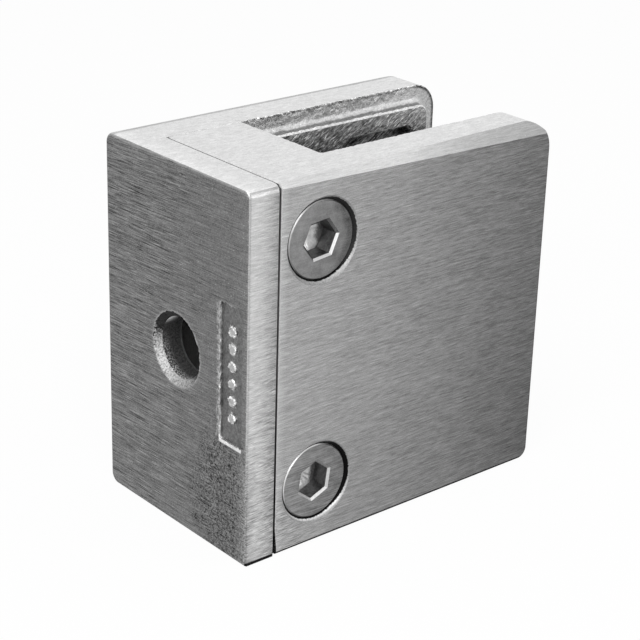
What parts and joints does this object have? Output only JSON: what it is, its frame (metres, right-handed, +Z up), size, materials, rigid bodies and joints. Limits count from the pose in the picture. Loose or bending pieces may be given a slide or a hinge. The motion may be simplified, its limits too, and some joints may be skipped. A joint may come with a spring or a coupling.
{
  "type": "glass panel clamp",
  "caption": "Square metal clamp with a flat mounting face and a through slot that grips the edge of a glass panel between two jaws drawn together by countersunk screws.",
  "frame": {"origin": "centre of the mounting hole, in the plane of the flat mounting face", "axes": "+X runs from the mounting face into the clamp and out of the open end of the glass slot, +Y from the screwed front jaw to the back jaw, +Z up along the edge of the panel"},
  "size_m": [0.046, 0.0267, 0.045],
  "materials": {
    "cast_steel": "coarse brushed outside, rough cast in the slot",
    "screw_steel": "turned, brushed over with the face"
  },
  "bodies": {
    "back_half": {"back_half": "cast_steel"},
    "front_half": {"front_half": "cast_steel"},
    "upper_screw": {"upper_screw": "screw_steel"},
    "lower_screw": {"lower_screw": "screw_steel"}
  },
  "joints": [
    {"name": "front_half_slide", "type": "slide", "parent": "back_half", "child": "front_half", "axis": [0, -1, 0], "range_m": [0, 0.0045]},
    {"name": "upper_screw_turn", "type": "hinge", "parent": "front_half", "child": "upper_screw", "pos_m": [0.01045, -0.01265, 0.01485], "axis": [0, -1, 0], "range_deg": [0, 1620]},
    {"name": "lower_screw_turn", "type": "hinge", "parent": "front_half", "child": "lower_screw", "pos_m": [0.01045, -0.01265, -0.01485], "axis": [0, -1, 0], "range_deg": [0, 1620]}
  ],
  "couplings": [
    {"joint": "upper_screw_turn", "follows": "front_half_slide", "rad_per_m": 6283.2},
    {"joint": "lower_screw_turn", "follows": "front_half_slide", "rad_per_m": 6283.2}
  ]
}
